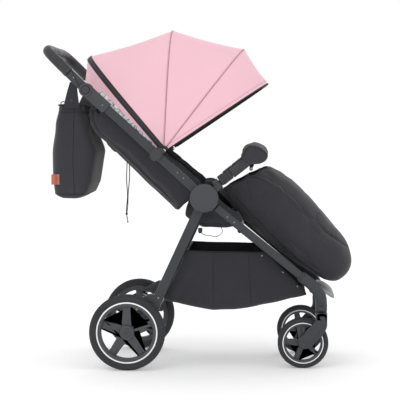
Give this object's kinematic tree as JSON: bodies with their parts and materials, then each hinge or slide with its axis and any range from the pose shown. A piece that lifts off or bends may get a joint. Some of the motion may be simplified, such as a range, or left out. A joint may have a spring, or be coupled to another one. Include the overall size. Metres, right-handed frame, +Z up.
{
  "type": "baby stroller",
  "caption": "Folding baby stroller with reclining seat, hinged pink canopy, foot muff, bumper bar, basket, rear bag, swivel front wheels and sprung rear wheels.",
  "frame": {"origin": "middle of the footprint box, on the floor", "axes": "+X forward, +Z up, +Y to the rider's left"},
  "size_m": [1.0266, 0.528, 1.1226],
  "materials": {
    "frame_paint": "matte charcoal powder coat",
    "black_plastic": "fine-grained",
    "grey_plastic": "matte",
    "tyre_foam": "matte",
    "spring_steel": "bright",
    "charcoal_fabric": "woven",
    "pink_fabric": "woven",
    "grip_leather": "fine-grained",
    "webbing": "woven"
  },
  "bodies": {
    "front_frame": {"front_leg_right": "frame_paint", "front_leg_left": "frame_paint", "front_cross_bar": "frame_paint", "foot_plate": "grey_plastic", "hub_right": "frame_paint", "hub_left": "frame_paint", "seat_cross_bar": "frame_paint", "seat_base": "charcoal_fabric", "basket": "charcoal_fabric", "strap_loop": "webbing"},
    "rear_frame": {"rear_leg_right": "frame_paint", "rear_leg_left": "frame_paint", "rear_cross_bar": "frame_paint", "suspension_spring_right": "spring_steel", "suspension_spring_left": "spring_steel"},
    "upper_frame": {"upper_tube_right": "frame_paint", "upper_tube_left": "frame_paint", "handle_joint_right": "frame_paint", "handle_joint_left": "frame_paint", "canopy_clamp_right": "black_plastic", "canopy_clamp_left": "black_plastic", "canopy_rear_bow": "black_plastic", "canopy_rear_panel": "pink_fabric"},
    "seat_back": {"seat_back": "charcoal_fabric", "recline_cord": "webbing"},
    "handle": {"handle_bar": "frame_paint", "handle_grip": "grip_leather"},
    "bag": {"bag": "charcoal_fabric"},
    "bag_lid": {"bag_lid": "charcoal_fabric"},
    "canopy_apex": {"canopy_apex_bow": "black_plastic", "canopy_back_panel": "pink_fabric"},
    "canopy_second": {"canopy_second_bow": "black_plastic", "canopy_front_panel": "pink_fabric"},
    "canopy_front": {"canopy_front_bow": "black_plastic", "canopy_visor": "pink_fabric"},
    "bumper": {"bumper_arm_right": "black_plastic", "bumper_arm_left": "black_plastic", "bumper_bar": "grip_leather", "bumper_cover": "charcoal_fabric"},
    "leg_rest": {"leg_rest": "black_plastic", "foot_muff": "charcoal_fabric"},
    "brake_pedal": {"brake_pedal": "grey_plastic"},
    "bumper_button_right": {"bumper_button_right": "black_plastic"},
    "handle_button_right": {"handle_button_right": "black_plastic"},
    "suspension_right": {"suspension_arm_right": "frame_paint"},
    "rear_wheel_right": {"rear_tyre_right": "tyre_foam", "rear_rim_right": "black_plastic"},
    "fork_right": {"front_fork_right": "frame_paint"},
    "front_wheel_right": {"front_tyre_right": "tyre_foam", "front_rim_right": "black_plastic"},
    "swivel_lock_right": {"swivel_lock_right": "black_plastic"},
    "bumper_button_left": {"bumper_button_left": "black_plastic"},
    "handle_button_left": {"handle_button_left": "black_plastic"},
    "suspension_left": {"suspension_arm_left": "frame_paint"},
    "rear_wheel_left": {"rear_tyre_left": "tyre_foam", "rear_rim_left": "black_plastic"},
    "fork_left": {"front_fork_left": "frame_paint"},
    "front_wheel_left": {"front_tyre_left": "tyre_foam", "front_rim_left": "black_plastic"},
    "swivel_lock_left": {"swivel_lock_left": "black_plastic"}
  },
  "joints": [
    {"name": "frame_fold", "type": "hinge", "parent": "front_frame", "child": "upper_frame", "pos_m": [0.02284, 0, 0.568], "axis": [0, 1, 0], "range_deg": [0, 45]},
    {"name": "rear_leg_fold", "type": "hinge", "parent": "front_frame", "child": "rear_frame", "pos_m": [0.02284, 0, 0.568], "axis": [0, -1, 0], "range_deg": [0, 13]},
    {"name": "seat_recline", "type": "hinge", "parent": "upper_frame", "child": "seat_back", "pos_m": [-0.04714, 0, 0.5506], "axis": [0, 1, 0], "range_deg": [0, 12]},
    {"name": "handle_tilt", "type": "hinge", "parent": "upper_frame", "child": "handle", "pos_m": [-0.3622, 0, 0.91898], "axis": [0, -1, 0], "range_deg": [-7, 45]},
    {"name": "bag_swing", "type": "hinge", "parent": "handle", "child": "bag", "pos_m": [-0.40515, 0, 0.95], "axis": [0, -1, 0], "range_deg": [-45, 7]},
    {"name": "bag_lid_lift", "type": "hinge", "parent": "bag", "child": "bag_lid", "pos_m": [-0.38515, 0, 0.8686], "axis": [0, 1, 0], "range_deg": [0, 80]},
    {"name": "canopy_fold", "type": "hinge", "parent": "upper_frame", "child": "canopy_apex", "pos_m": [-0.11016, 0, 0.722], "axis": [0, -1, 0], "range_deg": [0, 34], "deforming": ["canopy_back_panel"]},
    {"name": "canopy_second_fold", "type": "hinge", "parent": "canopy_apex", "child": "canopy_second", "pos_m": [-0.11016, 0, 0.722], "axis": [0, -1, 0], "range_deg": [0, 29], "deforming": ["canopy_front_panel"]},
    {"name": "canopy_front_fold", "type": "hinge", "parent": "canopy_second", "child": "canopy_front", "pos_m": [-0.11016, 0, 0.722], "axis": [0, -1, 0], "range_deg": [0, 13], "deforming": ["canopy_visor"]},
    {"name": "bumper_pull_out", "type": "slide", "parent": "front_frame", "child": "bumper", "axis": [0.788, 0, 0.6157], "range_m": [0, 0.045]},
    {"name": "leg_rest_raise", "type": "hinge", "parent": "front_frame", "child": "leg_rest", "pos_m": [0.16984, 0, 0.552], "axis": [0, -1, 0], "range_deg": [0, 20], "deforming": ["foot_muff"]},
    {"name": "brake_press", "type": "hinge", "parent": "rear_frame", "child": "brake_pedal", "pos_m": [-0.14516, 0, 0.205], "axis": [0, -1, 0], "range_deg": [0, 18]},
    {"name": "bumper_button_press_right", "type": "slide", "parent": "front_frame", "child": "bumper_button_right", "axis": [0, 1, 0], "range_m": [0, 0.0025], "stiffness_N_per_m": 400, "springref_m": -0.001},
    {"name": "handle_button_press_right", "type": "slide", "parent": "upper_frame", "child": "handle_button_right", "axis": [0, 1, 0], "range_m": [0, 0.0025], "stiffness_N_per_m": 400, "springref_m": -0.001},
    {"name": "suspension_travel_right", "type": "hinge", "parent": "rear_frame", "child": "suspension_right", "pos_m": [-0.15416, 0, 0.15], "axis": [0, 1, 0], "range_deg": [-2, 4], "stiffness_Nm_per_rad": 150, "springref_deg": -0.86, "deforming": ["suspension_spring_right"]},
    {"name": "rear_wheel_spin_right", "type": "hinge", "parent": "suspension_right", "child": "rear_wheel_right", "pos_m": [-0.23115, -0.232, 0.125], "axis": [0, 1, 0], "continuous": true},
    {"name": "swivel_right", "type": "hinge", "parent": "front_frame", "child": "fork_right", "pos_m": [0.40685, -0.163, 0.175], "axis": [0, 0, 1], "continuous": true},
    {"name": "front_wheel_spin_right", "type": "hinge", "parent": "fork_right", "child": "front_wheel_right", "pos_m": [0.34685, -0.16, 0.084], "axis": [0, 1, 0], "continuous": true},
    {"name": "swivel_lock_press_right", "type": "slide", "parent": "front_frame", "child": "swivel_lock_right", "axis": [0, 0, -1], "range_m": [0, 0.004]},
    {"name": "bumper_button_press_left", "type": "slide", "parent": "front_frame", "child": "bumper_button_left", "axis": [0, -1, 0], "range_m": [0, 0.0025], "stiffness_N_per_m": 400, "springref_m": -0.001},
    {"name": "handle_button_press_left", "type": "slide", "parent": "upper_frame", "child": "handle_button_left", "axis": [0, -1, 0], "range_m": [0, 0.0025], "stiffness_N_per_m": 400, "springref_m": -0.001},
    {"name": "suspension_travel_left", "type": "hinge", "parent": "rear_frame", "child": "suspension_left", "pos_m": [-0.15416, 0, 0.15], "axis": [0, 1, 0], "range_deg": [-2, 4], "stiffness_Nm_per_rad": 150, "springref_deg": -0.86, "deforming": ["suspension_spring_left"]},
    {"name": "rear_wheel_spin_left", "type": "hinge", "parent": "suspension_left", "child": "rear_wheel_left", "pos_m": [-0.23115, 0.232, 0.125], "axis": [0, 1, 0], "continuous": true},
    {"name": "swivel_left", "type": "hinge", "parent": "front_frame", "child": "fork_left", "pos_m": [0.40685, 0.163, 0.175], "axis": [0, 0, 1], "continuous": true},
    {"name": "front_wheel_spin_left", "type": "hinge", "parent": "fork_left", "child": "front_wheel_left", "pos_m": [0.34685, 0.16, 0.084], "axis": [0, 1, 0], "continuous": true},
    {"name": "swivel_lock_press_left", "type": "slide", "parent": "front_frame", "child": "swivel_lock_left", "axis": [0, 0, -1], "range_m": [0, 0.004]}
  ],
  "couplings": [
    {"joint": "rear_leg_fold", "follows": "frame_fold", "ratio": 0.28},
    {"joint": "bag_swing", "follows": "handle_tilt", "ratio": -1},
    {"joint": "canopy_second_fold", "follows": "canopy_fold", "ratio": 0.835},
    {"joint": "canopy_front_fold", "follows": "canopy_fold", "ratio": 0.37}
  ]
}
